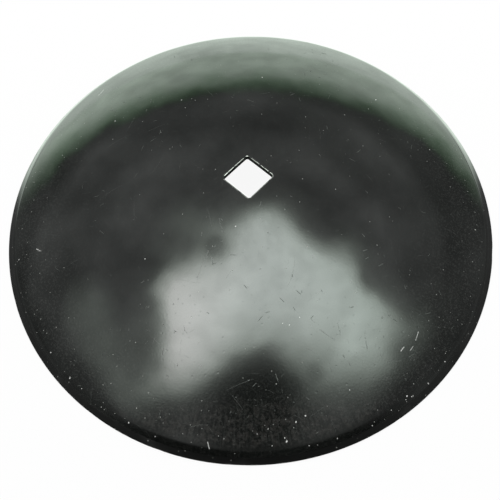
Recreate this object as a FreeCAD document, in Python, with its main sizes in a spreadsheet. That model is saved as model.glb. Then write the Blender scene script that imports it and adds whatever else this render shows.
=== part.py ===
import FreeCAD, Part
import Sketcher
import math
import os

# Smooth harrow disc blade: one round steel plate, pressed into a shallow spherical dish of even
# thickness, ground to an edge all round on its convex side and punched in the middle with a
# square hole for the gang axle.
# The blade lies on its cutting edge with the convex side up. The origin is the centre of the
# cutting edge, +Z is the blade's axis, and the flats of the square hole face along X and Y.
# All sizes are in millimetres.

SIZES = [
    ("blade_diameter", 610.0, "over the cutting edge"),
    ("plate_thickness", 6.0, "of the pressed plate, the same everywhere inside the bevel"),
    ("dish_depth", 84.0, "from the plane of the cutting edge up to the concave face"),
    ("bevel_width", 10.0, "flat strip ground on the convex side"),
    ("bevel_blend", 30.0, "radius where the ground strip runs out into the convex face"),
    ("edge_land", 1.5, "plate left blunt at the cutting edge"),
    ("axle_hole", 41.0, "across the flats of the square hole"),
    ("axle_hole_corner", 2.5, "radius in the corners of the square hole"),
    ("punch_rollover", 1.0, "radius drawn round the mouth of the hole on the convex side"),
]

# How a sketch counts the points of its lines and arcs, and its own two axes.
START, END, CENTRE = 1, 2, 3
HORIZONTAL_AXIS, VERTICAL_AXIS = -1, -2

QUARTER_TURN = 90
FULL_TURN = 360
UPWARDS = FreeCAD.Vector(0, 0, 1)


def make_sheet(doc):
    """The spreadsheet that holds the driving sizes."""
    sheet = doc.addObject("Spreadsheet::Sheet", "Sizes")
    for row, (alias, value, note) in enumerate(SIZES, start=1):
        sheet.set(f"A{row}", alias)
        sheet.set(f"B{row}", str(value))
        sheet.set(f"C{row}", note)
        sheet.setAlias(f"B{row}", alias)
    doc.recompute()
    return sheet


def plane_of(body, role):
    """One of the body's own origin planes."""
    for feature in body.Origin.OriginFeatures:
        if feature.Role == role:
            return feature
    raise RuntimeError(f"the body has no {role}")


def new_sketch(body, name, role):
    """An empty sketch lying on one of the body's planes."""
    sketch = body.newObject("Sketcher::SketchObject", name)
    sketch.AttachmentSupport = [(plane_of(body, role), "")]
    sketch.MapMode = "FlatFace"
    return sketch


def bind(sketch, constraint, name, expression):
    """Adds a dimension, names it and ties it to the spreadsheet."""
    index = sketch.addConstraint(constraint)
    sketch.renameConstraint(index, name)
    sketch.setExpression(f"Constraints.{name}", expression)


def concave_radius(sheet):
    """Radius of the concave face: it rises dish_depth from the cutting edge's inner corner, which
    lies a little inside the full diameter because the land stands square to the plate."""
    reach = float(sheet.blade_diameter) / 2
    depth = float(sheet.dish_depth)
    land = float(sheet.edge_land)
    settling_rounds = 40
    inner_reach = reach
    for _ in range(settling_rounds):
        radius = (inner_reach ** 2 + depth ** 2) / (2 * depth)
        inner_reach = reach - land * inner_reach / radius
    return radius


def polar(centre, radius, angle):
    """A point of the sketch at a distance and direction from a centre."""
    return centre + FreeCAD.Vector(radius * math.cos(angle), radius * math.sin(angle), 0)


def direction(start, end):
    """Angle of the way from one point of the sketch to another."""
    return math.atan2(end.y - start.y, end.x - start.x)


def draw_section(body, sheet):
    """Half section of the blade: sketch x is the distance from the axis, sketch y the height.
    From the edge inwards it runs up the land, along the bevel, round the blend, over the convex
    face to the axis, and back along the concave face."""
    thickness = float(sheet.plate_thickness)
    depth = float(sheet.dish_depth)
    land = float(sheet.edge_land)
    bevel = float(sheet.bevel_width)
    blend = float(sheet.bevel_blend)
    concave = concave_radius(sheet)
    convex = concave + thickness
    centre = FreeCAD.Vector(0, depth - concave, 0)
    straight_up = math.pi / 2

    edge_angle = math.asin((concave - depth) / concave)
    edge = polar(centre, concave, edge_angle)
    tip = polar(centre, concave + land, edge_angle)

    # The blend touches both the convex face, from inside, and the bevel, so its centre is one
    # blend short of that face, and the bevel's end is the right angle between tip and centre.
    tip_to_blend = math.hypot(bevel, blend)
    turn = math.acos(((concave + land) ** 2 + (convex - blend) ** 2 - tip_to_blend ** 2)
                     / (2 * (concave + land) * (convex - blend)))
    shoulder_angle = edge_angle + turn
    blend_centre = polar(centre, convex - blend, shoulder_angle)
    bevel_end = polar(tip, bevel, direction(tip, blend_centre) - math.atan2(blend, bevel))

    section = new_sketch(body, "blade_section", "XZ_Plane")
    concave_arc = section.addGeometry(Part.ArcOfCircle(
        Part.Circle(centre, UPWARDS, concave), edge_angle, straight_up))
    land_line = section.addGeometry(Part.LineSegment(edge, tip))
    bevel_line = section.addGeometry(Part.LineSegment(tip, bevel_end))
    blend_arc = section.addGeometry(Part.ArcOfCircle(
        Part.Circle(blend_centre, UPWARDS, blend), direction(blend_centre, bevel_end), shoulder_angle))
    convex_arc = section.addGeometry(Part.ArcOfCircle(
        Part.Circle(centre, UPWARDS, convex), shoulder_angle, straight_up))
    axis_line = section.addGeometry(Part.LineSegment(
        polar(centre, convex, straight_up), polar(centre, concave, straight_up)))

    section.addConstraint([
        Sketcher.Constraint("Coincident", concave_arc, START, land_line, START),
        Sketcher.Constraint("Coincident", land_line, END, bevel_line, START),
        Sketcher.Constraint("Tangent", bevel_line, END, blend_arc, START),
        Sketcher.Constraint("Tangent", blend_arc, END, convex_arc, START),
        Sketcher.Constraint("Coincident", convex_arc, END, axis_line, START),
        Sketcher.Constraint("Coincident", concave_arc, END, axis_line, END),
        Sketcher.Constraint("Coincident", concave_arc, CENTRE, convex_arc, CENTRE),
        Sketcher.Constraint("PointOnObject", concave_arc, CENTRE, VERTICAL_AXIS),
        Sketcher.Constraint("PointOnObject", axis_line, START, VERTICAL_AXIS),
        Sketcher.Constraint("PointOnObject", axis_line, END, VERTICAL_AXIS),
        Sketcher.Constraint("PointOnObject", concave_arc, START, HORIZONTAL_AXIS),
        Sketcher.Constraint("PointOnObject", concave_arc, CENTRE, land_line),
    ])
    bind(section, Sketcher.Constraint("DistanceX", HORIZONTAL_AXIS, START, land_line, END, tip.x),
         "reach", "Sizes.blade_diameter / 2")
    bind(section, Sketcher.Constraint("DistanceY", HORIZONTAL_AXIS, START, axis_line, END, depth),
         "depth", "Sizes.dish_depth")
    bind(section, Sketcher.Constraint("Distance", axis_line, thickness),
         "thickness", "Sizes.plate_thickness")
    bind(section, Sketcher.Constraint("Distance", land_line, land), "land", "Sizes.edge_land")
    bind(section, Sketcher.Constraint("Distance", bevel_line, bevel), "bevel", "Sizes.bevel_width")
    bind(section, Sketcher.Constraint("Radius", blend_arc, blend), "blend", "Sizes.bevel_blend")
    return section


def press_dish(body, section):
    """The dished and sharpened plate: the section turned once about the blade's axis."""
    dish = body.newObject("PartDesign::Revolution", "dished_plate")
    dish.Profile = section
    dish.ReferenceAxis = (section, ["V_Axis"])
    dish.Angle = FULL_TURN
    return dish


def draw_hole(body, sheet):
    """Outline of the square axle hole: four flats joined by rounded corners."""
    half = float(sheet.axle_hole) / 2
    radius = float(sheet.axle_hole_corner)
    outline = new_sketch(body, "axle_hole_outline", "XY_Plane")
    flats = []
    corners = []
    for side in range(4):
        turn = FreeCAD.Rotation(UPWARDS, QUARTER_TURN * side)
        flats.append(outline.addGeometry(Part.LineSegment(
            turn.multVec(FreeCAD.Vector(half, radius - half, 0)),
            turn.multVec(FreeCAD.Vector(half, half - radius, 0)))))
        corner = turn.multVec(FreeCAD.Vector(half - radius, half - radius, 0))
        corners.append(outline.addGeometry(Part.ArcOfCircle(
            Part.Circle(corner, UPWARDS, radius),
            math.radians(QUARTER_TURN * side), math.radians(QUARTER_TURN * (side + 1)))))

    for side in range(4):
        following = flats[(side + 1) % 4]
        level = "Vertical" if side % 2 == 0 else "Horizontal"
        outline.addConstraint([
            Sketcher.Constraint("Tangent", flats[side], END, corners[side], START),
            Sketcher.Constraint("Tangent", corners[side], END, following, START),
            Sketcher.Constraint(level, flats[side]),
        ])
    for corner in corners[1:]:
        outline.addConstraint(Sketcher.Constraint("Equal", corners[0], corner))
    outline.addConstraint(Sketcher.Constraint(
        "Symmetric", corners[0], CENTRE, corners[2], CENTRE, HORIZONTAL_AXIS, START))
    bind(outline, Sketcher.Constraint("DistanceX", flats[2], START, flats[0], START, 2 * half),
         "across_x", "Sizes.axle_hole")
    bind(outline, Sketcher.Constraint("DistanceY", flats[3], START, flats[1], START, 2 * half),
         "across_y", "Sizes.axle_hole")
    bind(outline, Sketcher.Constraint("Radius", corners[0], radius), "corner", "Sizes.axle_hole_corner")
    return outline


def punch_hole(body, outline):
    """The square hole, cut right through the plate from below."""
    hole = body.newObject("PartDesign::Pocket", "punched_hole")
    hole.Profile = outline
    hole.Type = "ThroughAll"
    hole.Reversed = True
    return hole


def mouth_edges(shape, sheet):
    """Names of the hole's edges that lie on the convex face."""
    concave = concave_radius(sheet)
    convex = concave + float(sheet.plate_thickness)
    centre = FreeCAD.Vector(0, 0, float(sheet.dish_depth) - concave)
    hole_size = float(sheet.axle_hole)
    tolerance = 0.01
    names = []
    for number, edge in enumerate(shape.Edges, start=1):
        ends = [vertex.Point for vertex in edge.Vertexes]
        on_face = all(abs((end - centre).Length - convex) < tolerance for end in ends)
        near_axis = all(math.hypot(end.x, end.y) < hole_size for end in ends)
        if on_face and near_axis:
            names.append(f"Edge{number}")
    return names


def round_mouth(body, hole, sheet):
    """The rounded lip that punching leaves round the hole on the convex side."""
    lip = body.newObject("PartDesign::Fillet", "punch_rollover")
    lip.Base = (hole, mouth_edges(hole.Shape, sheet))
    lip.Radius = float(sheet.punch_rollover)
    lip.setExpression("Radius", "Sizes.punch_rollover")
    return lip


def check(doc, parts, sketches):
    """Stops if a feature failed, a sketch is loose or a sub-part isn't one good solid."""
    for feature in doc.Objects:
        if "Invalid" in feature.State or "Error" in feature.State:
            raise RuntimeError(f"{feature.Name} failed: {feature.State}")
    for sketch in sketches:
        if not sketch.FullyConstrained:
            raise RuntimeError(f"{sketch.Name} isn't fully constrained")
    for part in parts:
        shape = part.Shape
        if shape.isNull() or not shape.isValid() or len(shape.Solids) != 1:
            raise RuntimeError(f"{part.Label} isn't one valid solid")


def main():
    doc = FreeCAD.newDocument("harrow_disc_blade")
    sheet = make_sheet(doc)

    blade = doc.addObject("PartDesign::Body", "disc_blade")
    blade.Label = "disc_blade"
    blade.Placement = FreeCAD.Placement()
    section = draw_section(blade, sheet)
    dish = press_dish(blade, section)
    doc.recompute()

    outline = draw_hole(blade, sheet)
    hole = punch_hole(blade, outline)
    doc.recompute()
    if hole.Shape.Volume >= dish.Shape.Volume:
        raise RuntimeError("the axle hole cuts nothing")

    round_mouth(blade, hole, sheet)
    doc.recompute()

    check(doc, [blade], [section, outline])
    os.makedirs("parts", exist_ok=True)
    blade.Shape.exportStep(f"parts/{blade.Label}.step")
    box = blade.Shape.optimalBoundingBox(False, False)
    print(f"{blade.Label}: {box.XLength:.2f} x {box.YLength:.2f} x {box.ZLength:.2f} mm, "
          f"rests at z = {box.ZMin:.3f}, {blade.Shape.Volume / 1000:.1f} cm3")


main()
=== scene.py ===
import math

import bpy
import numpy as np
from mathutils import Matrix, Vector


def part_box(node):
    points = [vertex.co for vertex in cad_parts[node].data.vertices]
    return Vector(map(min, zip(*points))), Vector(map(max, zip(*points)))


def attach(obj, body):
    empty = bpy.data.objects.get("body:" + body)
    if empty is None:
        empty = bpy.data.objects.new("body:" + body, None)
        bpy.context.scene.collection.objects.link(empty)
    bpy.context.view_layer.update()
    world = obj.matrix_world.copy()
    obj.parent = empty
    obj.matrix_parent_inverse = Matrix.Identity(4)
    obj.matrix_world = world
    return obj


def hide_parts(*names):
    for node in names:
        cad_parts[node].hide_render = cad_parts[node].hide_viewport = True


# Smooth harrow disc blade in black lacquer, lying convex side up on a pale studio floor.
# Lengths are metres, angles degrees, in the CAD frame: z up, the blade's axis on z.

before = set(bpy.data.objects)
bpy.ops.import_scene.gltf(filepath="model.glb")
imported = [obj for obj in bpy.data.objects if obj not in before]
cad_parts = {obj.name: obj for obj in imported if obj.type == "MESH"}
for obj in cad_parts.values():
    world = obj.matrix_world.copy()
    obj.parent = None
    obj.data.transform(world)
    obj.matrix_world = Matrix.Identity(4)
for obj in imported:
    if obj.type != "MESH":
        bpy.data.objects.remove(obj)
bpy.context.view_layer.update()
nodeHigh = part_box("disc_blade")[1]
print("frame loaded, blade reaches", [round(v, 4) for v in nodeHigh])


# small helpers for node trees

def addNode(tree, kind, **settings):
    node = tree.nodes.new(kind)
    for name, value in settings.items():
        setattr(node, name, value)
    return node


def feed(tree, socket, value):
    # a socket gets a plain value, or a link from another node
    if isinstance(value, bpy.types.NodeSocket):
        tree.links.new(value, socket)
    else:
        socket.default_value = value


def fedNode(tree, kind, sockets, output=0, **settings):
    # a node whose inputs are fed by name or number; gives back one of its outputs
    node = addNode(tree, kind, **settings)
    for key, value in sockets.items():
        feed(tree, node.inputs[key], value)
    return node.outputs[output]


def mathNode(tree, operation, *values, clamp=False):
    return fedNode(tree, "ShaderNodeMath", dict(enumerate(values)), operation=operation, use_clamp=clamp)


def chained(tree, operation, first, *others):
    for other in others:
        first = mathNode(tree, operation, first, other)
    return first


def times(tree, *values):
    return chained(tree, "MULTIPLY", *values)


def addUp(tree, *values):
    return chained(tree, "ADD", *values)


def minus(tree, *values):
    return chained(tree, "SUBTRACT", *values)


def largest(tree, *values):
    return chained(tree, "MAXIMUM", *values)


def squared(tree, value):
    return mathNode(tree, "POWER", value, 2.0)


def weighted(tree, masks, shares):
    # the named masks added up, each times its share
    return addUp(tree, *(times(tree, masks[name], share) for name, share in shares.items()))


def smoothRange(tree, value, low, high, toLow=0.0, toHigh=1.0):
    sockets = {"Value": value, "From Min": low, "From Max": high, "To Min": toLow, "To Max": toHigh}
    return fedNode(tree, "ShaderNodeMapRange", sockets, interpolation_type="SMOOTHSTEP")


def within(tree, distance, core, reach):
    # 1 up to a share of the reach, then down to 0 at the reach
    return smoothRange(tree, distance, times(tree, reach, core), reach, 1.0, 0.0)


def vectorMath(tree, operation, *vectors, output=0):
    return fedNode(tree, "ShaderNodeVectorMath", dict(enumerate(vectors)), output, operation=operation)


def measure(tree, operation, *vectors):
    return vectorMath(tree, operation, *vectors, output="Value")


def scaled(tree, vector, factor):
    return fedNode(tree, "ShaderNodeVectorMath", {0: vector, "Scale": factor}, operation="SCALE")


def flatten(tree, vector):
    # the same place seen from above
    return vectorMath(tree, "MULTIPLY", vector, (1.0, 1.0, 0.0))


def splitVector(tree, vector):
    node = addNode(tree, "ShaderNodeSeparateXYZ")
    feed(tree, node.inputs[0], vector)
    return node.outputs


def joinVector(tree, *values):
    return fedNode(tree, "ShaderNodeCombineXYZ", dict(enumerate(values)))


def noiseNode(tree, vector, scale, detail=2.0, output=0):
    return fedNode(tree, "ShaderNodeTexNoise", {"Vector": vector, "Scale": scale, "Detail": detail}, output)


# the blade's section

blade = {
    "reach": nodeHigh[0],  # half the diameter, over the cutting edge
    "dishDepth": 0.084,  # to the concave face
    "plate": 0.006,
    "edgeLand": 0.0015,
    "bevelWidth": 0.010,
    "bevelBlend": 0.030,
    "edgeRound": 0.0003,  # lacquered corners of the land
    "edgeWear": 0.5,
    "holeHalf": 0.0205,
    "holeCorner": 0.0025,
    "mouthRound": 0.00104,  # rolled lip, convex side
    "mouthWear": 1.0,
    "burrRound": 0.0003,  # concave side
    "burrWear": 0.4,
    "roundFit": 0.97,  # keeps the roundings at the hole clear of the points beside them
    "lipGuard": 0.0007,  # how far the wear runs out past the lip
    "squareReach": 0.150,  # where the rings round the hole have become circles
    "turnSteps": 384,
    "faceSteps": 48,
    "blendSteps": 10,
    "bevelSteps": 6,
    "mouthSteps": 6,
    "wallRows": (0.1, 0.3, 0.6, 0.9),
    "wobble": 0.00012,  # unevenness left by the press
    "wobbleNoise": (9.0, 1.0),  # swells in a metre, and detail
    "wobbleStart": (0.03, 0.08),  # radii between which it sets in
    "wobbleEnd": (0.25, 0.29),  # and dies away
    "nickDepth": 0.0004,  # dents along the cutting edge
    "nickNoise": (34.0, 3.0),
    "nickRise": (0.56, 0.74),
    "nickReach": 0.004,
    "seed": 3.0,
}


def dishRadius(b):
    innerReach = b["reach"]
    for _ in range(40):
        radius = (innerReach ** 2 + b["dishDepth"] ** 2) / (2 * b["dishDepth"])
        innerReach = b["reach"] - b["edgeLand"] * innerReach / radius
    return radius


def polar(centre, radius, angle):
    return Vector((centre[0] + radius * math.cos(angle), centre[1] + radius * math.sin(angle)))


def heading(start, end):
    return math.atan2(end[1] - start[1], end[0] - start[0])


def arc(centre, radius, first, last, steps):
    return [polar(centre, radius, first + (last - first) * k / steps) for k in range(steps + 1)]


def roundCorner(before, corner, after, radius, steps=4):
    # points of a small arc that rounds the corner between two neighbours
    toBefore, toAfter = (before - corner).normalized(), (after - corner).normalized()
    half = toBefore.angle(toAfter) / 2
    start = corner + toBefore * radius / math.tan(half)
    end = corner + toAfter * radius / math.tan(half)
    centre = corner + (toBefore + toAfter).normalized() * radius / math.sin(half)
    first, last = heading(centre, start), heading(centre, end)
    turn = (last - first + math.pi) % (2 * math.pi) - math.pi
    return arc(centre, radius, first, first + turn, steps)


def bladeSection(b):
    # closed loop of (point, thin paint, wear): concave face, land, bevel, convex face, mouth, wall
    concave = dishRadius(b)
    convex = concave + b["plate"]
    centre = Vector((0, b["dishDepth"] - concave))
    edgeAngle = math.asin((concave - b["dishDepth"]) / concave)
    edge = polar(centre, concave, edgeAngle)
    tip = polar(centre, concave + b["edgeLand"], edgeAngle)

    tipRadius, blendRadius = concave + b["edgeLand"], convex - b["bevelBlend"]
    tipToBlend = math.hypot(b["bevelWidth"], b["bevelBlend"])
    bend = (tipRadius ** 2 + blendRadius ** 2 - tipToBlend ** 2) / (2 * tipRadius * blendRadius)
    faceEnd = edgeAngle + math.acos(bend)
    blendCentre = polar(centre, blendRadius, faceEnd)
    slope = heading(tip, blendCentre) - math.atan2(b["bevelBlend"], b["bevelWidth"])
    bevelEnd = polar(tip, b["bevelWidth"], slope)

    wall, burr, mouth = b["holeHalf"], b["burrRound"], b["mouthRound"]
    concaveStart = math.acos((wall + burr) / concave)
    guardAngle = math.acos((wall + mouth + b["lipGuard"]) / convex)
    convexEnd = polar(centre, convex, math.acos((wall + mouth) / convex))
    line = []

    def add(points, thinPaint=0.0, wear=0.0):
        line.extend((p, thinPaint, wear) for p in points)

    add(arc(centre, concave, concaveStart, edgeAngle + b["edgeRound"] / concave, b["faceSteps"]))
    add(roundCorner(line[-1][0], edge, tip, b["edgeRound"]), 1.0, b["edgeWear"])
    add(roundCorner(edge, tip, bevelEnd, b["edgeRound"]), 1.0, b["edgeWear"])
    add([tip.lerp(bevelEnd, k / b["bevelSteps"]) for k in range(1, b["bevelSteps"] + 1)], 1.0)
    add(arc(blendCentre, b["bevelBlend"], heading(blendCentre, bevelEnd), faceEnd, b["blendSteps"])[1:])
    add(arc(centre, convex, faceEnd, guardAngle, b["faceSteps"])[1:])
    mouthCorner = Vector((wall, convexEnd.y))
    wallEnd = Vector((wall, line[0][0].y))
    lip = roundCorner(convexEnd, mouthCorner, wallEnd, mouth * b["roundFit"], b["mouthSteps"])
    add(lip, wear=b["mouthWear"])
    add([lip[-1].lerp(wallEnd, share) for share in b["wallRows"]], 1.0)
    add(roundCorner(mouthCorner, wallEnd, line[0][0], burr * b["roundFit"]), 1.0, b["burrWear"])
    return line, centre


section, dishCentre = bladeSection(blade)
print("section drawn,", len(section), "points")


# geometry nodes that turn the section round the axis and square it at the hole

bladeInputs = ("holeHalf", "holeCorner", "squareReach", "reach", "wobble", "nickDepth", "seed")


def spinTree(b):
    tree = bpy.data.node_groups.new("spinBlade", "GeometryNodeTree")
    inputs = {"geometry": "Geometry", "turnSteps": "Int", **{name: "Float" for name in bladeInputs}}
    inputs |= {"dishCentre": "Float", "lacquer": "Material", "thinPaint": "Material"}
    for name, kind in inputs.items():
        tree.interface.new_socket(name, in_out="INPUT", socket_type="NodeSocket" + kind)
    tree.interface.new_socket("Geometry", in_out="OUTPUT", socket_type="NodeSocketGeometry")
    given = addNode(tree, "NodeGroupInput").outputs
    result = addNode(tree, "NodeGroupOutput").inputs
    position = addNode(tree, "GeometryNodeInputPosition").outputs[0]

    def keep(geometry, name, value):
        sockets = {"Geometry": geometry, "Name": name, "Value": value}
        return fedNode(tree, "GeometryNodeStoreNamedAttribute", sockets, data_type="FLOAT", domain="POINT")

    def kept(name):
        kind = "GeometryNodeInputNamedAttribute"
        return fedNode(tree, kind, {"Name": name}, "Attribute", data_type="FLOAT")

    def move(geometry, socket, value):
        return fedNode(tree, "GeometryNodeSetPosition", {"Geometry": geometry, socket: value})

    def seededNoise(scale, detail):
        sockets = {"Vector": position, "W": given["seed"], "Scale": scale, "Detail": detail}
        return fedNode(tree, "ShaderNodeTexNoise", sockets, noise_dimensions="4D")

    # the section as a curve that remembers its radius and height
    apart = splitVector(tree, position)
    profile = fedNode(tree, "GeometryNodeMeshToCurve", {"Mesh": given["geometry"]})
    profile = keep(profile, "sectionRadius", apart["X"])
    profile = keep(profile, "sectionHeight", apart["Z"])

    # the path round the axis remembers how far it has turned
    ring = {"Resolution": given["turnSteps"], "Radius": 1.0}
    path = fedNode(tree, "GeometryNodeCurvePrimitiveCircle", ring, "Curve", mode="RADIUS")
    index = addNode(tree, "GeometryNodeInputIndex").outputs[0]
    share = mathNode(tree, "DIVIDE", index, given["turnSteps"])
    path = keep(path, "turnedBy", times(tree, share, 2 * math.pi))
    swept = fedNode(tree, "GeometryNodeCurveToMesh", {"Curve": path, "Profile Curve": profile})

    radius, height, angle = kept("sectionRadius"), kept("sectionHeight"), kept("turnedBy")
    cosine, sine = mathNode(tree, "COSINE", angle), mathNode(tree, "SINE", angle)
    sizes = mathNode(tree, "ABSOLUTE", cosine), mathNode(tree, "ABSOLUTE", sine)
    larger, smaller = largest(tree, *sizes), mathNode(tree, "MINIMUM", *sizes)

    # squareness falls from 1 at the hole to 0 at the square reach
    squareness = smoothRange(tree, radius, given["holeHalf"], given["squareReach"], 1.0, 0.0)
    flatHalf = times(tree, minus(tree, given["holeHalf"], given["holeCorner"]), squareness)

    # distance from the axis to a square of this radius with round corners
    onFlat = mathNode(tree, "DIVIDE", radius, larger)
    towards = times(tree, flatHalf, addUp(tree, larger, smaller))
    inside = minus(tree, squared(tree, towards), times(tree, squared(tree, flatHalf), 2.0))
    inside = addUp(tree, inside, squared(tree, minus(tree, radius, flatHalf)))
    onCorner = addUp(tree, towards, mathNode(tree, "SQRT", inside))
    isFlat = mathNode(tree, "LESS_THAN", times(tree, onFlat, smaller), flatHalf)
    reach = addUp(tree, onCorner, times(tree, minus(tree, onFlat, onCorner), isFlat))

    # the height stays on the same sphere about the dish's centre
    shell = addUp(tree, squared(tree, radius), squared(tree, minus(tree, height, given["dishCentre"])))
    lifted = mathNode(tree, "SQRT", minus(tree, shell, squared(tree, reach)))
    level = joinVector(tree, 0.0, 0.0, addUp(tree, lifted, given["dishCentre"]))
    out = joinVector(tree, cosine, sine, 0.0)
    piece = move(swept, "Position", vectorMath(tree, "ADD", scaled(tree, out, reach), level))

    # pressing leaves the plate very slightly uneven, always inwards
    fadeIn = smoothRange(tree, reach, *b["wobbleStart"])
    fadeOut = smoothRange(tree, reach, *b["wobbleEnd"], 1.0, 0.0)
    drop = times(tree, seededNoise(*b["wobbleNoise"]), given["wobble"], fadeIn, fadeOut, -1.0)
    piece = move(piece, "Offset", joinVector(tree, 0.0, 0.0, drop))

    # handling leaves shallow nicks in the cutting edge
    nicks = smoothRange(tree, seededNoise(*b["nickNoise"]), *b["nickRise"])
    nearRim = smoothRange(tree, radius, minus(tree, given["reach"], b["nickReach"]), given["reach"])
    dent = times(tree, nicks, nearRim, given["nickDepth"], -1.0)
    piece = move(piece, "Offset", scaled(tree, out, dent))

    # faces turned outwards, then one whole mesh with its two finishes
    piece = fedNode(tree, "GeometryNodeFlipFaces", {"Mesh": piece})
    piece = fedNode(tree, "GeometryNodeSetShadeSmooth", {"Geometry": piece})
    piece = fedNode(tree, "GeometryNodeRealizeInstances", {0: piece})
    piece = fedNode(tree, "GeometryNodeSetMaterial", {"Geometry": piece, "Material": given["lacquer"]})
    isThin = mathNode(tree, "GREATER_THAN", kept("thinPaint"), 0.5)
    piece = fedNode(tree, "GeometryNodeSetMaterial",
                    {"Geometry": piece, "Selection": isThin, "Material": given["thinPaint"]})
    feed(tree, result[0], piece)
    return tree


def placeObject(name, data):
    made = bpy.data.objects.new(name, data)
    bpy.context.collection.objects.link(made)
    return made


def newObject(name, points, edges=(), faces=()):
    mesh = bpy.data.meshes.new(name)
    mesh.from_pydata([tuple(p) for p in points], list(edges), list(faces))
    return placeObject(name, mesh)


def remember(obj, name, values, domain="POINT"):
    # a number or a vector for each point or face of the mesh
    values = np.array(values, np.float32)
    kind, field = ("FLOAT", "value") if values.ndim == 1 else ("FLOAT_VECTOR", "vector")
    attribute = obj.data.attributes.new(name, kind, domain)
    attribute.data.foreach_set(field, values.ravel())


def nodesToMesh(obj, tree, values, name):
    # runs the tree on the object and gives back a plain mesh object
    modifier = obj.modifiers.new("shape", "NODES")
    modifier.node_group = tree
    for item in tree.interface.items_tree:
        if item.in_out == "INPUT" and item.name in values:
            modifier[item.identifier] = values[item.name]
    obj.update_tag()
    graph = bpy.context.evaluated_depsgraph_get()
    graph.update()
    mesh = bpy.data.meshes.new_from_object(obj.evaluated_get(graph), depsgraph=graph)
    mesh.name = name
    obj.modifiers.remove(modifier)
    bpy.data.objects.remove(obj)
    return placeObject(name, mesh)


# shader groups: each is one effect of the paint and its wear

effects = {
    "swellNoise": (17.0, 2.0),
    "peelNoise": (420.0, 1.0),
    "patchDetail": 3.0,
    "hairBend": 16.0,
    "hairShortest": 0.25,  # added to a chance of 0 to 1, which sets the length
    "hairCore": 0.3,  # share of the width and length at full strength
    "speckSmallest": 0.3,
    "speckCore": 0.5,
}


def newGroup(name, output, **inputs):
    group = bpy.data.node_groups.new(name, "ShaderNodeTree")
    group.interface.new_socket("Vector", in_out="INPUT", socket_type="NodeSocketVector")
    for label, value in inputs.items():
        kind = "NodeSocketVector" if isinstance(value, tuple) else "NodeSocketFloat"
        socket = group.interface.new_socket(label, in_out="INPUT", socket_type=kind)
        socket.default_value = value
    group.interface.new_socket(output, in_out="OUTPUT", socket_type="NodeSocketFloat")
    return group, addNode(group, "NodeGroupInput").outputs, addNode(group, "NodeGroupOutput").inputs[0]


def paintReliefGroup():
    # height of the sprayed film in metres: a slow swell with its ripples, and the fine orange peel
    group, given, result = newGroup("paintRelief", "Height", Swell=0.0005, Peel=0.00003)
    swell = times(group, noiseNode(group, given["Vector"], *effects["swellNoise"]), given["Swell"])
    peel = times(group, noiseNode(group, given["Vector"], *effects["peelNoise"]), given["Peel"])
    feed(group, result, addUp(group, swell, peel))
    return group


def patchesGroup():
    # soft cloudy patches, for handling marks and uneven paint
    group, given, result = newGroup("patches", "Mask", Size=7.0, From=0.45, To=0.70)
    cloud = noiseNode(group, given["Vector"], given["Size"], effects["patchDetail"])
    feed(group, result, smoothRange(group, cloud, given["From"], given["To"]))
    return group


def nearestCell(group, given):
    # the cell round a point, seen from above: the way to its middle, three chances and the distance
    flat = flatten(group, given["Vector"])
    cells = addNode(group, "ShaderNodeTexVoronoi", voronoi_dimensions="2D")
    feed(group, cells.inputs["Vector"], flat)
    feed(group, cells.inputs["Scale"], given["Cells"])
    fromMiddle = vectorMath(group, "SUBTRACT", flat, cells.outputs["Position"])
    return fromMiddle, splitVector(group, cells.outputs["Color"]), cells.outputs["Distance"]


def hairScratchesGroup():
    # one short fine scratch in some of the cells, each with its own turn, length and bend
    group, given, result = newGroup("hairScratches", "Mask", Cells=30.0, Share=0.3, Length=0.01,
                                    Width=0.0003)
    fromMiddle, chance, _ = nearestCell(group, given)
    turn = {"Vector": fromMiddle, "Angle": times(group, chance["X"], 2 * math.pi)}
    turned = fedNode(group, "ShaderNodeVectorRotate", turn, rotation_type="Z_AXIS")
    along, across, _ = splitVector(group, turned)
    bend = times(group, minus(group, chance["Y"], 0.5), effects["hairBend"])
    across = addUp(group, across, times(group, bend, squared(group, along)))
    length = times(group, given["Length"], addUp(group, chance["Y"], effects["hairShortest"]))
    line = within(group, mathNode(group, "ABSOLUTE", across), effects["hairCore"], given["Width"])
    fade = within(group, mathNode(group, "ABSOLUTE", along), effects["hairCore"], length)
    feed(group, result, times(group, line, fade, mathNode(group, "LESS_THAN", chance["Z"], given["Share"])))
    return group


def specksGroup():
    # scattered dust specks and tiny chips
    group, given, result = newGroup("specks", "Mask", Cells=90.0, Share=0.1, Radius=0.12)
    _, chance, distance = nearestCell(group, given)
    size = times(group, addUp(group, chance["Y"], effects["speckSmallest"]), given["Radius"])
    spot = within(group, distance, effects["speckCore"], size)
    feed(group, result, times(group, spot, mathNode(group, "LESS_THAN", chance["X"], given["Share"])))
    return group


def placedMarkGroup():
    # a mark between two places: a round fleck where they are the same, else a scratch
    group, given, result = newGroup("placedMark", "Mask", Start=(0, 0, 0), End=(0, 0, 0), Width=0.001)
    way = vectorMath(group, "SUBTRACT", given["End"], given["Start"])
    gone = vectorMath(group, "SUBTRACT", given["Vector"], given["Start"])
    share = mathNode(group, "DIVIDE", measure(group, "DOT_PRODUCT", gone, way),
                     measure(group, "DOT_PRODUCT", way, way), clamp=True)
    distance = measure(group, "DISTANCE", gone, scaled(group, way, share))
    feed(group, result, within(group, distance, effects["hairCore"], given["Width"]))
    return group


def turnedLinesGroup():
    # streaks laid out about the blade's axis, longer round it the fewer spokes they have
    group, given, result = newGroup("turnedLines", "Value", Spokes=60.0, Rings=20.0)
    flat = flatten(group, given["Vector"])
    out = splitVector(group, scaled(group, vectorMath(group, "NORMALIZE", flat), given["Spokes"]))
    rings = times(group, measure(group, "LENGTH", flat), given["Rings"])
    feed(group, result, noiseNode(group, joinVector(group, out["X"], out["Y"], rings), 1.0, 1.0))
    return group


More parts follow.
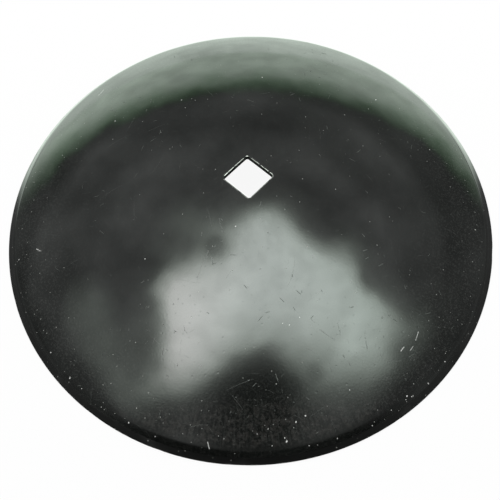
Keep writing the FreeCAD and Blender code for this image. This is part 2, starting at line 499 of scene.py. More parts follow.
paintRelief = paintReliefGroup()
patches = patchesGroup()
hairScratches = hairScratchesGroup()
specks = specksGroup()
placedMark = placedMarkGroup()
turnedLines = turnedLinesGroup()


def use(tree, group, vector, **values):
    return fedNode(tree, "ShaderNodeGroup", {"Vector": vector, **values}, node_tree=group)


def blendColour(tree, share, under, over):
    sockets = {"Factor": share, "A": under, "B": over}
    return fedNode(tree, "ShaderNodeMix", sockets, "Result", data_type="RGBA")


def attributeNode(tree, name, output="Fac"):
    return addNode(tree, "ShaderNodeAttribute", attribute_name=name).outputs[output]


def newMaterial(name):
    material = bpy.data.materials.new(name)
    material.use_nodes = True
    return material, material.node_tree, addNode(material.node_tree, "ShaderNodeTexCoord").outputs["Object"]


def wornAway(tree, place, values):
    # bare steel where the section is exposed, in patches
    patchy = smoothRange(tree, noiseNode(tree, place, *values["wornNoise"]), *values["wornPatches"])
    return smoothRange(tree, times(tree, attributeNode(tree, "wear"), patchy), *values["wornEdge"])


def finishPaint(tree, place, values, masks, gloss):
    # colours laid one over the other, then the roughness, the clear gloss on top and the relief
    shader = tree.nodes["Principled BSDF"].inputs
    colours = values["colours"]
    colour = colours["deep"]
    for name, share, over in values["layers"]:
        colour = blendColour(tree, times(tree, masks[name], share), colour, colours[over])
    feed(tree, shader["Base Color"], colour)
    feed(tree, shader["Metallic"], times(tree, masks["worn"], values["metal"]))
    roughness = addUp(tree, values["roughness"], weighted(tree, masks, values["rougher"]))
    feed(tree, shader["Roughness"], mathNode(tree, "MINIMUM", roughness, values["roughest"]))
    feed(tree, shader["Coat Weight"], gloss)
    for name, value in values["sockets"].items():
        shader[name].default_value = value
    relief = use(tree, paintRelief, place, **values["relief"])
    height = addUp(tree, relief, weighted(tree, masks, values["heights"]))
    bump = {"Distance": 1.0, "Height": height}  # heights are metres already
    feed(tree, shader["Normal"], fedNode(tree, "ShaderNodeBump", bump))


# seen from above, the ways from the blade's axis towards the camera, to the far side and to the right
sides = {
    "near": (0.703, -0.711, 0.0),
    "back": (-0.703, 0.711, 0.0),
    "right": (0.711, 0.703, 0.0),
}

# the two finishes: gloss lacquer on the faces, a thin dull coat on the bevel and in the hole
# ranges are (from, to), with the values at both ends where they aren't 0 and 1; a noise is its swells in
# a metre and its detail

lacquer = {
    "colours": {
        "deep": (0.0034, 0.0040, 0.0036, 1.0),
        "handled": (0.0066, 0.0076, 0.0068, 1.0),
        "scratched": (0.062, 0.066, 0.061, 1.0),
        # lighter colour of the worn patch on the camera's side: partly wear, partly painted sheen
        "rubbedSheen": (0.065, 0.062, 0.057, 1.0),
        "dust": (0.42, 0.43, 0.40, 1.0),
        # near-white spots and short lines in the colour, at given places
        "paleMarks": (0.80, 0.81, 0.78, 1.0),
        "steel": (0.56, 0.56, 0.54, 1.0),
    },
    "layers": (("handled", 1.0, "handled"), ("grain", 0.30, "scratched"), ("leatherSheen", 0.26, "rubbedSheen"),
               ("brushed", 0.12, "scratched"), ("hairs", 0.35, "scratched"), ("dashes", 0.45, "scratched"),
               ("cut", 0.45, "scratched"), ("dust", 0.6, "dust"), ("paleMarks", 1.0, "paleMarks"),
               ("worn", 1.0, "steel")),
    "metal": 1.0,
    "roughness": 0.085,
    "rougher": {"handled": 0.03, "hairs": 0.20, "dashes": 0.45, "smear": 0.04, "matt": 0.45, "worn": 0.15},
    "roughest": 0.9,
    "lostGloss": {"streaks": 0.24, "handled": 0.10, "grain": 0.10, "brushed": 0.15, "hairs": 0.35,
                  "dashes": 0.6, "smear": 0.85, "leatherSheen": 0.25, "matt": 1.0, "worn": 1.0},
    "sockets": {"Specular IOR Level": 0.90, "Coat Roughness": 0.065},
    "relief": {"Swell": 0.00040, "Peel": 0.000022},
    "heights": {"rimGrain": 0.00005, "cut": -0.00004, "dashes": -0.00002, "pits": -0.00007},
    "shoulder": (0.284, 0.292, 1.0, 0.15),  # radii: the wear of the face fades before the bevel
    "rimZone": (0.17, 0.29),
    "rubbedPatch": (0.235, 0.262),  # how far out towards the camera the worn patch with its painted sheen begins
    "raggedMarks": ((900.0, 0.0014), (70.0, 0.006)),  # noises that bend a mark, and how far
    "fineNoise": 430.0,
    "cutBreaks": (0.40, 0.56, 0.25, 1.0),
    "cutMatt": 0.8,
    "grainRise": (0.48, 0.68),
    "grainZone": (0.0, 1.0, 0.20, 1.0),
    "handled": {"Size": 6.5, "From": 0.44, "To": 0.68},
    "hardPatches": {"Size": 13.0, "From": 0.50, "To": 0.64},
    "streaks": {"Spokes": 7.0, "Rings": 60.0},
    "streaksRise": (0.35, 0.70),
    "brushed": {"Spokes": 120.0, "Rings": 25.0},
    "brushedRise": (0.45, 0.70),
    "brushedRim": 0.5,
    "leatherNoise": (200.0, 3.0),
    "leatherRise": (0.45, 0.60),
    "longHairs": {"Cells": 19.0, "Share": 0.26, "Length": 0.022, "Width": 0.00034},
    # the share of these grows with the radius or in the hard patches
    "shortHairs": ((0.15, 0.28, 0.12, 0.55), {"Cells": 84.0, "Length": 0.005, "Width": 0.00034}),
    "shortLevel": 0.8,
    "dashes": ((0.0, 1.0, 0.03, 0.30), {"Cells": 64.0, "Length": 0.0050, "Width": 0.00055}),
    "pits": ((0.0, 1.0, 0.03, 0.45), {"Cells": 105.0, "Radius": 0.11}),
    "fineDust": ((0.235, 0.288, 0.03, 0.16), {"Cells": 170.0, "Radius": 0.10}),
    "coarseDust": ((0.225, 0.29, 0.0, 0.03), {"Cells": 62.0, "Radius": 0.055}),
    "wornNoise": (240.0, 1.0),
    "wornPatches": (0.36, 0.48),
    "wornEdge": (0.35, 0.75),
}


def lacquerMaterial(values):
    material, tree, place = newMaterial("blackLacquer")

    def over(value, name):
        return smoothRange(tree, value, *values[name])

    radius = measure(tree, "LENGTH", flatten(tree, place))
    onFace = over(radius, "shoulder")
    nearRim = times(tree, over(radius, "rimZone"), onFace)
    fine = noiseNode(tree, place, values["fineNoise"])

    # the mark that lies nearest, with slightly ragged edges: pale, cut in or smeared
    bent = place
    for scale, shift in values["raggedMarks"]:
        way = vectorMath(tree, "SUBTRACT", noiseNode(tree, place, scale, output="Color"), (0.5, 0.5, 0.5))
        bent = vectorMath(tree, "ADD", bent, scaled(tree, way, shift))
    width, isPale, cutIn = splitVector(tree, attributeNode(tree, "markKind", "Vector"))
    mark = use(tree, placedMark, flatten(tree, bent), Start=attributeNode(tree, "markStart", "Vector"),
               End=attributeNode(tree, "markEnd", "Vector"), Width=width)
    mark = times(tree, mark, attributeNode(tree, "markStrength"))
    paleMarks, wholeCut = times(tree, mark, isPale), times(tree, mark, cutIn)
    smear = mathNode(tree, "SUBTRACT", minus(tree, mark, paleMarks), wholeCut, clamp=True)
    cut = times(tree, wholeCut, over(fine, "cutBreaks"))

    def scattered(group, name, along):
        share, settings = values[name]
        return use(tree, group, place, Share=smoothRange(tree, along, *share), **settings)

    hard = use(tree, patches, place, **values["hardPatches"])
    longHairs = use(tree, hairScratches, place, **values["longHairs"])
    shortHairs = scattered(hairScratches, "shortHairs", radius)
    dust = largest(tree, scattered(specks, "fineDust", radius), scattered(specks, "coarseDust", radius))
    grain = times(tree, over(fine, "grainRise"), over(nearRim, "grainZone"))

    # a patch by the rim on the camera's side is worn dull and grained, and painted lighter: partly wear,
    # partly a painted sheen put only on the side the camera sees
    towardsCamera = measure(tree, "DOT_PRODUCT", place, sides["near"])
    rubbedSheen = times(tree, over(towardsCamera, "rubbedPatch"), onFace)
    leatherSheen = over(noiseNode(tree, place, *values["leatherNoise"]), "leatherRise")
    brushed = over(use(tree, turnedLines, place, **values["brushed"]), "brushedRise")
    streaks = use(tree, turnedLines, place, **values["streaks"])

    masks = {
        "handled": use(tree, patches, place, **values["handled"]),
        "streaks": over(streaks, "streaksRise"),
        "hairs": largest(tree, longHairs, times(tree, shortHairs, values["shortLevel"])),
        "dashes": scattered(hairScratches, "dashes", hard),
        "pits": scattered(specks, "pits", hard),
        "grain": grain,
        "rimGrain": times(tree, fine, nearRim),
        "leatherSheen": times(tree, leatherSheen, rubbedSheen),
        # brushed lines by the rim, more of them in the worn patch on the camera's side, where they carry
        # its painted sheen
        "brushed": times(tree, brushed, addUp(tree, times(tree, nearRim, values["brushedRim"]), rubbedSheen)),
        "dust": dust,
        "paleMarks": paleMarks,
        "cut": cut,
        "smear": smear,
        "matt": largest(tree, dust, paleMarks, times(tree, cut, values["cutMatt"])),
        "worn": wornAway(tree, place, values),
    }
    lost = weighted(tree, masks, values["lostGloss"])
    finishPaint(tree, place, values, masks, mathNode(tree, "SUBTRACT", 1.0, lost, clamp=True))
    return material


thinPaint = {
    "colours": {
        "deep": (0.0010, 0.0012, 0.0010, 1.0),
        "scuffed": (0.0034, 0.0037, 0.0033, 1.0),
        "dust": (0.38, 0.39, 0.36, 1.0),
        "steel": (0.42, 0.42, 0.40, 1.0),
    },
    "layers": (("scuffs", 1.0, "scuffed"), ("hairs", 0.5, "scuffed"), ("dust", 0.6, "dust"),
               ("worn", 0.8, "steel")),
    "metal": 0.8,
    "roughness": 0.25,
    "rougher": {"scuffs": 0.15, "rings": 0.1, "worn": -0.2},
    "roughest": 0.9,
    "sockets": {"Specular IOR Level": 0.80, "Coat Roughness": 0.10},
    "relief": {"Swell": 0.0, "Peel": 0.00005},
    "heights": {"rings": 0.00005, "dust": 0.0001, "worn": -0.00008},
    "gloss": (0.0, 1.0, 0.57, 0.95),
    "glossy": {"Size": 11.0, "From": 0.45, "To": 0.62},
    "scuffs": {"Size": 38.0, "From": 0.50, "To": 0.70},
    "dust": {"Cells": 190.0, "Share": 0.13, "Radius": 0.12},
    "hairs": {"Cells": 110.0, "Share": 0.35, "Length": 0.005, "Width": 0.00028},
    "grinding": {"Spokes": 9.0, "Rings": 900.0},
    "wornNoise": (150.0, 2.0),
    "wornPatches": (0.52, 0.62),
    "wornEdge": (0.15, 0.35),
}


def thinPaintMaterial(values):
    material, tree, place = newMaterial("thinEdgePaint")
    masks = {
        "scuffs": use(tree, patches, place, **values["scuffs"]),
        "dust": use(tree, specks, place, **values["dust"]),
        "hairs": use(tree, hairScratches, place, **values["hairs"]),
        "rings": use(tree, turnedLines, place, **values["grinding"]),
        "worn": wornAway(tree, place, values),
    }
    gloss = smoothRange(tree, use(tree, patches, place, **values["glossy"]), *values["gloss"])
    gone = largest(tree, masks["dust"], masks["worn"])
    finishPaint(tree, place, values, masks, mathNode(tree, "SUBTRACT", gloss, gone, clamp=True))
    return material


blackLacquer = lacquerMaterial(lacquer)
edgePaint = thinPaintMaterial(thinPaint)
print("finishes mixed")

loop = [(point.x, 0.0, point.y) for point, thin, wear in section]
outline = newObject("sectionLine", loop, [(k, (k + 1) % len(loop)) for k in range(len(loop))])
remember(outline, "thinPaint", [thin for point, thin, wear in section])
remember(outline, "wear", [wear for point, thin, wear in section])
shape = {name: blade[name] for name in ("turnSteps", *bladeInputs)}
shape |= {"dishCentre": dishCentre.y, "lacquer": blackLacquer, "thinPaint": edgePaint}
bladePiece = nodesToMesh(outline, spinTree(blade), shape, "disc_blade_lacquered")
print("blade turned,", len(bladePiece.data.polygons), "faces,", len(bladePiece.data.materials), "finishes")


# the camera, and what it sees at a point of its 500 by 500 picture

shot = {
    "place": (0.2682, -0.2728, 0.6795),
    "aim": (0.0347, -0.0363, 0.0),
    "roll": -2.03,
    "lens": 43.73,
    "sensor": 36.0,
    "clip": 0.01,
    "picture": 500,
}


def cameraTurn():
    look = Vector(shot["place"]) - Vector(shot["aim"])
    return look.to_track_quat("Z", "Y").to_matrix() @ Matrix.Rotation(math.radians(shot["roll"]), 3, "Z")


def makeCamera():
    data = bpy.data.cameras.new("camera")
    data.lens = shot["lens"]
    data.sensor_width = shot["sensor"]
    data.clip_start = shot["clip"]
    camera = placeObject("camera", data)
    camera.matrix_world = Matrix.Translation(shot["place"]) @ cameraTurn().to_4x4()
    bpy.context.scene.camera = camera


def onBlade(pixel):
    # where the ray through a point of the picture meets the convex face, and which way it is mirrored
    half = shot["picture"] / 2
    reach = shot["lens"] / shot["sensor"] * shot["picture"]
    ray = cameraTurn() @ Vector((pixel[0] - half, half - pixel[1], -reach)).normalized()
    radius = dishRadius(blade) + blade["plate"]
    fromCentre = Vector(shot["place"]) - Vector((0, 0, dishCentre.y))
    along = fromCentre.dot(ray)
    way = -along - math.sqrt(along ** 2 - fromCentre.length_squared + radius ** 2)
    outward = (fromCentre + ray * way) / radius
    return Vector(shot["place"]) + ray * way, ray - outward * 2 * ray.dot(outward)


makeCamera()
print("camera set")


# marks on the convex face, by their places in the picture: a pixel, then half the width in millimetres; the
# flecks are near-white spots in the colour

flecks = [
    (263, 77, 0.9), (115, 121, 1.0), (182, 100, 0.7), (376, 100, 1.0), (39, 249, 1.2), (19, 260, 0.9),
    (70, 378, 1.2), (81, 389, 0.8), (128, 423, 0.9), (286, 442, 1.5), (296, 422, 1.0), (284, 438, 0.6),
    (306, 416, 1.2), (145, 258, 0.7), (430, 150, 0.8), (372, 425, 0.8), (309, 446, 0.6), (236, 226, 0.9),
    (350, 391, 0.8), (407, 396, 1.2), (412, 396, 0.9), (406, 400, 0.8), (445, 362, 1.0), (289, 324, 0.7),
    (282, 323, 0.6), (300, 318, 0.6), (347, 360, 0.6), (101, 407, 0.6), (155, 436, 0.6), (257, 434, 0.6),
    (337, 438, 0.6), (392, 411, 0.6), (428, 383, 0.8), (51, 352, 0.8), (268, 428, 0.6), (273, 446, 0.7),
]

# the others run from one pixel to another, and have a strength too
paleLines = [
    (418, 332, 416, 339, 0.5, 0.7), (402, 351, 404, 347, 0.5, 0.7), (410, 351, 413, 346, 0.5, 0.6),
    (99, 95, 103, 90, 0.5, 0.7), (208, 441, 209, 449, 0.5, 0.7), (37, 249, 42, 250, 0.6, 0.7),
]
scratches = [
    (310, 318, 318, 324, 0.6, 0.6), (320, 329, 335, 341, 0.7, 0.6), (337, 324, 339, 334, 0.7, 0.6),
    (365, 331, 367, 350, 0.6, 0.5), (382, 317, 382, 318, 1.3, 0.9), (389, 315, 390, 316, 0.9, 0.7),
    (344, 355, 345, 357, 1.0, 0.7), (348, 361, 350, 366, 0.9, 0.6), (388, 361, 400, 362, 0.6, 0.5),
    (220, 219, 223, 233, 0.9, 0.8), (211, 255, 213, 264, 0.8, 0.7), (206, 254, 208, 259, 0.7, 0.5),
    (268, 233, 269, 234, 1.1, 0.7), (292, 275, 292, 276, 1.2, 0.7), (259, 269, 260, 269, 0.9, 0.7),
    (178, 279, 200, 283, 0.5, 0.3), (183, 326, 187, 334, 0.7, 0.5), (200, 424, 202, 432, 0.8, 0.5),
    (190, 427, 208, 424, 0.7, 0.7), (372, 330, 380, 328, 0.6, 0.3), (260, 94, 270, 92, 0.6, 0.5),
    (320, 130, 321, 139, 0.5, 0.5), (296, 158, 299, 166, 0.7, 0.5), (366, 174, 374, 182, 0.6, 0.5),
    (321, 53, 325, 54, 2.0, 1.0), (311, 49, 312, 50, 1.2, 0.8), (190, 55, 192, 56, 2.0, 0.7),
    (236, 51, 238, 51, 1.6, 0.7),
]
smears = [
    (194, 54, 212, 52, 34.0, 0.35), (240, 50, 256, 49, 28.0, 0.28), (214, 243, 215, 247, 13.0, 1.0),
    (315, 372, 317, 373, 13.0, 0.4), (152, 330, 144, 346, 15.0, 0.35),
]

marking = {
    "widthPull": 0.0007,  # how much nearer a mark counts for each millimetre of its width
    "leastUp": 0.2,  # only faces that look up take a mark
}


def alongShare(points, start, end):
    # how far along the way from start to end each point lies, from 0 to 1
    way = end - start
    return np.clip((points - start) @ way / max(way @ way, 1e-12), 0, 1)


def distanceTo(points, start, end):
    along = alongShare(points, start, end)[:, None]
    return np.linalg.norm(points - start - along * (end - start), axis=1)


def placeMarks(piece):
    # each face of the convex side remembers the mark whose edge lies nearest to it, seen from above
    faces = piece.data.polygons
    marks = [(x, y, x, y, width, 1.0, 1.0, 0.0) for x, y, width in flecks]
    for group, isPale, cutIn in ((paleLines, 1.0, 0.0), (scratches, 0.0, 1.0), (smears, 0.0, 0.0)):
        marks += [(*mark, isPale, cutIn) for mark in group]
    starts, ends = (np.array([(*onBlade(mark[k:k + 2])[0][:2], 0.0) for mark in marks]) for k in (0, 2))
    widths, strengths, isPale, cutIn = np.array(marks)[:, 4:].T
    middles = np.array([face.center[:2] for face in faces])
    gaps = [distanceTo(middles, start[:2], end[:2]) - marking["widthPull"] * width
            for start, end, width in zip(starts, ends, widths)]
    nearest = np.argmin(gaps, axis=0)
    kinds = np.column_stack((widths / 1000, isPale, cutIn))
    upwards = np.array([face.normal.z > marking["leastUp"] for face in faces])
    remember(piece, "markStart", starts[nearest], "FACE")
    remember(piece, "markEnd", ends[nearest], "FACE")
    remember(piece, "markKind", kinds[nearest], "FACE")
    remember(piece, "markStrength", strengths[nearest] * upwards, "FACE")


placeMarks(bladePiece)
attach(bladePiece, "root")
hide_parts("disc_blade")
print("marks placed")


# floor and light

studio = {
    "floorSize": 12.0,
    "floorDrop": 0.0003,
    "floorColour": (0.9, 0.9, 0.9, 1.0),
    "floorShown": 0.92,  # how far the floor shows as plain white
    "floorMirrored": (1.07, 1.24, 1.09),
    "floorLit": (0.00, 0.14),  # how far back the mirrored floor grows light
    "floorAside": (0.47, 0.60),  # far out it is dim where less of the way than this leads back
    "floorFar": (0.34, 0.55),
    "floorDim": 0.015,
    "lighting": 0.70,  # level of the surroundings as plain light
    "skylightHeight": 2.2,
    "skylightLevel": 3.95,
    "skylightCell": 0.04,
    "skylightMargin": 0.4,
    "skylightHaze": 0.25,  # how far the haze runs out past the first outline
    "skylightCore": 0.30,  # and how deep inside the last one the glow is full
    "hazeColour": (0.86, 1.0, 0.87, 1.0),
    "coreColour": (0.91, 1.0, 0.945, 1.0),
    "leftPart": (-1.4, 0.3, 1.0, 0.0),
    "leftColour": (0.995, 1.0, 0.97, 1.0),
    "rightPart": (0.0, 1.8),
    "rightColour": (0.875, 1.0, 0.92, 1.0),
    "cloudNoise": 2.2,
    "cloudLevel": (0.2, 0.8, 0.94, 1.06),
    "brightSpot": (-0.24, -0.90, 2.2),
    "spotLevel": (0.1, 1.1, 1.20, 1.0),
    "lampSize": 1.6,
    "lampPower": 25,
    "lampPlace": (-0.8, 0.9, 2.0),
}

# the bright opening overhead, by where the lacquer mirrors it in the picture: how far the glow has risen
# at each outline, from the faint haze round it to its core, and the outline's pixels, x and y by turns
skylight = [
    (0.03, (
        192, 203, 206, 206, 215, 208, 225, 204, 240, 202, 258, 199, 275, 197, 292, 198, 302, 210, 310, 221,
        320, 232, 330, 236, 345, 233, 362, 240, 370, 256, 372, 270, 380, 280, 395, 284, 400, 294, 408, 304,
        425, 308, 433, 318, 432, 335, 424, 348, 416, 358, 404, 372, 393, 384, 380, 395, 368, 404, 340, 408,
        306, 405, 300, 389, 290, 378, 275, 366, 262, 359, 250, 364, 235, 372, 220, 381, 205, 393, 190, 403,
        158, 407, 143, 414, 125, 410, 113, 400, 103, 386, 95, 373, 86, 362, 78, 349, 70, 336, 63, 318,
        66, 300, 76, 286, 92, 284, 103, 290, 112, 303, 115, 318, 123, 324, 132, 316, 145, 311, 143, 290,
        150, 277, 159, 264, 154, 248, 156, 240, 167, 236, 162, 228, 166, 217, 177, 207)),
    (0.085, (
        205, 215, 220, 215, 232, 212, 243, 206, 262, 204, 275, 202, 284, 204, 292, 211, 299, 221, 308, 231,
        318, 239, 325, 241, 340, 239, 350, 241, 359, 247, 362, 258, 361, 275, 367, 284, 381, 289, 388, 297,
        400, 309, 412, 317, 422, 320, 424, 332, 418, 339, 413, 343, 414, 349, 405, 354, 400, 362, 392, 371,
        384, 380, 370, 389, 350, 393, 325, 396, 309, 392, 306, 384, 296, 377, 283, 367, 273, 357, 267, 351,
        258, 355, 245, 361, 232, 367, 220, 376, 208, 386, 196, 395, 180, 401, 140, 402, 133, 405, 121, 399,
        110, 386, 109, 371, 100, 364, 94, 350, 88, 334, 84, 322, 81, 310, 84, 299, 93, 294, 103, 299,
        106, 310, 106, 320, 112, 332, 115, 345, 116, 358, 124, 365, 130, 376, 137, 377, 142, 364, 141, 355,
        148, 353, 154, 343, 152, 330, 149, 322, 153, 312, 153, 304, 149, 297, 149, 286, 160, 274, 168, 261,
        173, 255, 188, 250, 192, 243, 187, 236, 184, 230, 175, 225, 176, 218, 190, 212)),
    (0.2, (
        201, 247, 206, 252, 212, 256, 219, 253, 224, 245, 222, 239, 215, 235, 209, 233, 209, 226, 216, 223,
        223, 226, 232, 218, 240, 215, 250, 210, 266, 207, 280, 208, 286, 213, 292, 220, 300, 231, 312, 240,
        322, 245, 333, 245, 345, 248, 354, 257, 358, 268, 360, 278, 366, 287, 378, 294, 388, 304, 398, 313,
        405, 321, 411, 328, 407, 336, 402, 341, 394, 345, 393, 352, 395, 360, 392, 367, 385, 374, 370, 381,
        350, 386, 328, 387, 317, 386, 317, 381, 320, 376, 317, 372, 311, 372, 305, 375, 299, 372, 290, 366,
        280, 358, 277, 350, 270, 346, 262, 347, 252, 351, 242, 354, 235, 358, 222, 369, 215, 376, 203, 384,
        190, 393, 175, 395, 152, 394, 141, 391, 147, 378, 155, 365, 156, 350, 159, 335, 159, 320, 156, 303,
        152, 288, 156, 278, 165, 269, 176, 262, 188, 258, 196, 252)),
    (0.61, (
        202, 262, 213, 264, 220, 261, 228, 254, 232, 246, 232, 238, 236, 231, 245, 224, 252, 218, 260, 215,
        272, 216, 282, 220, 288, 226, 296, 235, 306, 244, 318, 252, 330, 258, 342, 263, 351, 270, 354, 279,
        362, 290, 372, 298, 382, 308, 388, 318, 386, 328, 384, 340, 382, 352, 374, 357, 360, 359, 345, 361,
        338, 367, 330, 365, 333, 358, 331, 351, 315, 349, 300, 345, 285, 341, 274, 337, 262, 340, 248, 342,
        236, 346, 228, 350, 220, 358, 212, 366, 200, 371, 187, 375, 174, 378, 166, 375, 167, 364, 167, 350,
        170, 335, 168, 320, 166, 302, 163, 291, 173, 277, 184, 272, 192, 267)),
    (0.88, (
        262, 223, 268, 224, 274, 230, 283, 230, 292, 240, 306, 248, 322, 257, 336, 264, 345, 271, 350, 280,
        360, 293, 370, 303, 375, 315, 374, 326, 369, 333, 368, 345, 362, 351, 350, 350, 341, 346, 342, 335,
        336, 325, 326, 329, 316, 325, 308, 333, 300, 328, 297, 321, 288, 318, 270, 317, 250, 318, 232, 322,
        229, 335, 217, 341, 207, 350, 200, 357, 192, 363, 185, 364, 178, 360, 172, 350, 171, 330, 169, 310,
        170, 296, 173, 286, 180, 283, 200, 281, 208, 279, 212, 272, 220, 269, 228, 262, 235, 252, 243, 246,
        246, 236, 254, 226)),
]


def stageMaterial(name, surface):
    material, tree, place = newMaterial(name)
    tree.nodes.remove(tree.nodes["Principled BSDF"])
    feed(tree, tree.nodes["Material Output"].inputs["Surface"], surface(tree, place))
    return material


def mixShaders(tree, share, first, second):
    return fedNode(tree, "ShaderNodeMixShader", {0: share, 1: first, 2: second})


def clearShader(tree):
    return addNode(tree, "ShaderNodeBsdfTransparent").outputs[0]


def floorSurface(tree, place):
    # plain white to the camera, bright in the lacquer only at the back, and clear from below
    rays = addNode(tree, "ShaderNodeLightPath").outputs
    back = measure(tree, "DOT_PRODUCT", place, sides["back"])
    distance = measure(tree, "LENGTH", place)
    slant = smoothRange(tree, mathNode(tree, "DIVIDE", back, distance), *studio["floorAside"], 1.0, 0.0)
    aside = times(tree, slant, smoothRange(tree, distance, *studio["floorFar"]))
    level = times(tree, smoothRange(tree, back, *studio["floorLit"]), minus(tree, 1.0, aside))
    level = smoothRange(tree, level, 0.0, 1.0, studio["floorDim"], 1.0)
    mirrored = scaled(tree, studio["floorMirrored"], level)
    colour = blendColour(tree, rays["Is Glossy Ray"], (1.0, 1.0, 1.0, 1.0), mirrored)
    lit = fedNode(tree, "ShaderNodeBsdfDiffuse", {"Color": studio["floorColour"]})
    white = fedNode(tree, "ShaderNodeEmission", {"Color": colour})
    seen = addUp(tree, rays["Is Camera Ray"], rays["Is Glossy Ray"], rays["Is Transmission Ray"])
    shown = times(tree, mathNode(tree, "MINIMUM", seen, 1.0), studio["floorShown"])
    below = addNode(tree, "ShaderNodeNewGeometry").outputs["Backfacing"]
    return mixShaders(tree, below, mixShaders(tree, shown, lit, white), clearShader(tree))


def makeFloor():
    half = studio["floorSize"] / 2
    corners = [(-half, -half), (half, -half), (half, half), (-half, half)]
    floor = newObject("floor", [(x, y, -studio["floorDrop"]) for x, y in corners], faces=[(0, 1, 2, 3)])
    floor.data.materials.append(stageMaterial("paleFloor", floorSurface))


def distanceInside(points, outline):
    # signed distance of many points to a closed outline, positive inside
    corners = np.array(outline)
    nearest = np.full(len(points), np.inf)
    inside = np.zeros(len(points), bool)
    for start, end in zip(corners, np.roll(corners, -1, axis=0)):
        nearest = np.minimum(nearest, distanceTo(points, start, end))
        crosses = (start[1] > points[:, 1]) != (end[1] > points[:, 1])
        if start[1] != end[1]:
            at = start[0] + (points[:, 1] - start[1]) / (end[1] - start[1]) * (end[0] - start[0])
            inside ^= crosses & (points[:, 0] < at)
    return np.where(inside, nearest, -nearest)


def onSkylight(pixel):
    # the place overhead that the lacquer mirrors at a point of the picture
    place, way = onBlade(pixel)
    return (place + way * ((studio["skylightHeight"] - place.z) / way.z))[:2]


def skylightSurface(tree, place):
    # greener in the haze and on the right, warmer on the left, brightest at one spot
    glow = attributeNode(tree, "glow")
    across = measure(tree, "DOT_PRODUCT", place, sides["right"])
    colour = studio["coreColour"]
    for side in ("left", "right"):
        part = smoothRange(tree, across, *studio[side + "Part"])
        colour = blendColour(tree, part, colour, studio[side + "Colour"])
    colour = blendColour(tree, glow, studio["hazeColour"], colour)
    cloud = smoothRange(tree, noiseNode(tree, place, studio["cloudNoise"]), *studio["cloudLevel"])
    spot = smoothRange(tree, measure(tree, "DISTANCE", place, studio["brightSpot"]), *studio["spotLevel"])
    light = {"Color": colour, "Strength": times(tree, cloud, spot, studio["skylightLevel"])}
    return mixShaders(tree, glow, clearShader(tree), fedNode(tree, "ShaderNodeEmission", light))


def makeSkylight():
    cell, margin = studio["skylightCell"], studio["skylightMargin"]
    outlines = [np.array([onSkylight(pixel) for pixel in zip(line[::2], line[1::2])])
                for _, line in skylight]
    low, high = outlines[0].min(0) - margin, outlines[0].max(0) + margin
    across, deep = np.ceil((high - low) / cell).astype(int)
    grid = np.array([low + cell * np.array((i, k)) for k in range(deep + 1) for i in range(across + 1)])
    row = across + 1
    faces = [(k * row + i, k * row + i + 1, (k + 1) * row + i + 1, (k + 1) * row + i)
             for k in range(deep) for i in range(across)]
    card = newObject("skylight", [(x, y, studio["skylightHeight"]) for x, y in grid], faces=faces)
    depths = [distanceInside(grid, outline) for outline in outlines]
    depths = [depths[0] + studio["skylightHaze"]] + depths + [depths[-1] - studio["skylightCore"]]
    levels = [0.0] + [risen for risen, _ in skylight] + [1.0]
    glow = np.zeros(len(grid))
    for outer, inner, below, level in zip(depths, depths[1:], levels, levels[1:]):
        # between two outlines the glow rises by how far the place is from each
        glow += (level - below) * np.clip(outer / np.maximum(outer - inner, 1e-6), 0, 1) * (outer > 0)
    remember(card, "glow", glow)
    card.data.materials.append(stageMaterial("skylightGlow", skylightSurface))
    card.visible_camera = False
    card.visible_diffuse = False
    card.visible_shadow = False


# what the lacquer mirrors round the skylight; directions run from the camera to its right, away and up
surroundings = {
    "heading": 44.65,  # the camera's right hand, turned from +x
    "wallTop": (0.60, 0.99, 0.08, 0.27),  # over away: at the sides and straight behind
    "wallSides": (0.42, 0.68),
    "wallTurn": 0.04,
    "wallFade": -0.12,
    "wallLeft": (-0.50, -0.10, 1.12, 1.0),  # over right: how much lighter the wall is on the left
    "wallBlotches": (9.0, 3.0),
    "wallRagged": (0.25, 0.75, -0.035, 0.035),
    "wallStains": (0.30, 0.70, 0.88, 1.12),
    "channels": [(0.86, 0.12), (1.03, 0.145), (0.87, 0.12)],  # level and end of the fade
    "lean": -0.09,  # the room's levels reach lower on the left
    "nearShift": (-0.3, 0.3, 0.22, 0.0),  # over away: and start higher up on the camera's side
    "roomLow": 0.12,
    "roomRise": (0.33, 0.44),
    "roomSides": (0.2, 0.7, 0.185, 0.255),  # higher up, in the middle and at the sides
    "roomTop": (0.58, 0.72, 0.0, 0.085),  # added overhead
    "roomTint": (0.96, 1.0, 0.97),
    "clouds": (3.5, 3.0),
    "cloudLevel": (0.25, 0.75, 0.65, 1.35),
    "darkest": (0.03, -0.62, 0.0),
    "darkReach": (0.06, 0.34, 0.05, 1.0),
    "nearSide": (-0.85, -0.50, 1.0, 0.0),  # over away: here it is dark low down too
    "lowDark": (0.45, 0.62, 0.96, 0.0),
}


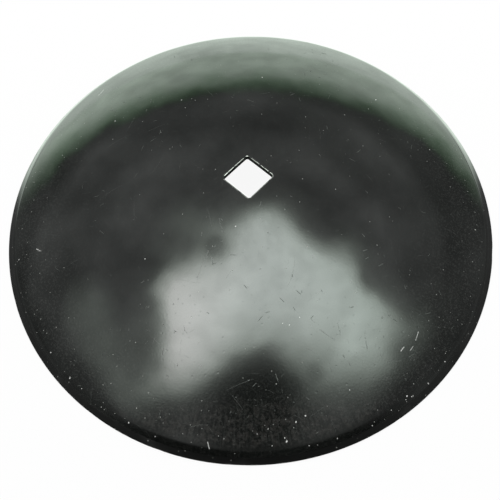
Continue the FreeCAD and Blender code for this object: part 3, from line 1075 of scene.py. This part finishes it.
def makeWorld():
    world = bpy.data.worlds.new("studio")
    bpy.context.scene.world = world
    world.use_nodes = True
    tree = world.node_tree
    tree.nodes.clear()
    given = surroundings
    turn = {"Vector": addNode(tree, "ShaderNodeTexCoord").outputs["Generated"],
            "Angle": -math.radians(given["heading"])}
    way = fedNode(tree, "ShaderNodeVectorRotate", turn, rotation_type="Z_AXIS")
    right, away, up = splitVector(tree, way)

    def over(value, name):
        return smoothRange(tree, value, *given[name])

    # a bright wall behind, with a ragged edge and stains
    blotches = noiseNode(tree, way, *given["wallBlotches"])
    aboveWall = addUp(tree, minus(tree, up, over(away, "wallTop")), over(blotches, "wallRagged"))
    behind = over(addUp(tree, away, times(tree, right, given["wallTurn"])), "wallSides")
    stains = times(tree, over(blotches, "wallStains"), over(right, "wallLeft"))

    # a dim, cloudy room above it, and the darkness round the camera
    lean = addUp(tree, up, times(tree, right, given["lean"]))
    lean = minus(tree, lean, over(away, "nearShift"))
    side = over(mathNode(tree, "ABSOLUTE", right), "roomSides")
    room = smoothRange(tree, lean, *given["roomRise"], given["roomLow"], side)
    room = addUp(tree, room, over(lean, "roomTop"))
    level = vectorMath(tree, "SUBTRACT", joinVector(tree, right, away, 0.0), given["darkest"])
    hidden = times(tree, over(away, "nearSide"), over(up, "lowDark"))
    room = times(tree, room, over(measure(tree, "LENGTH", level), "darkReach"), minus(tree, 1.0, hidden),
                 over(noiseNode(tree, way, *given["clouds"]), "cloudLevel"))

    channels = []
    for (brightness, fadeEnd), tint in zip(given["channels"], given["roomTint"]):
        wall = times(tree, smoothRange(tree, aboveWall, given["wallFade"], fadeEnd, 1.0, 0.0), behind)
        lit = times(tree, wall, brightness, stains)
        channels.append(addUp(tree, lit, times(tree, room, tint, minus(tree, 1.0, wall))))

    rays = addNode(tree, "ShaderNodeLightPath").outputs
    lighting = studio["lighting"]
    plain = addUp(tree, times(tree, rays["Is Camera Ray"], 1 - lighting), lighting)
    colour = blendColour(tree, rays["Is Glossy Ray"], joinVector(tree, plain, plain, plain),
                         joinVector(tree, *channels))
    shade = fedNode(tree, "ShaderNodeBackground", {"Color": colour})
    feed(tree, addNode(tree, "ShaderNodeOutputWorld").inputs["Surface"], shade)


def makeLamp():
    lamp = bpy.data.lights.new("softLamp", "AREA")
    lamp.shape = "DISK"
    lamp.size = studio["lampSize"]
    lamp.energy = studio["lampPower"]
    holder = placeObject("softLamp", lamp)
    holder.location = studio["lampPlace"]
    holder.rotation_mode = "QUATERNION"
    holder.rotation_quaternion = Vector(studio["lampPlace"]).to_track_quat("Z", "Y")
    holder.visible_glossy = False


makeFloor()
makeSkylight()
makeWorld()
makeLamp()
print("floor and light set")


bpy.context.scene.view_settings.view_transform = "Standard"

print("scene ready")
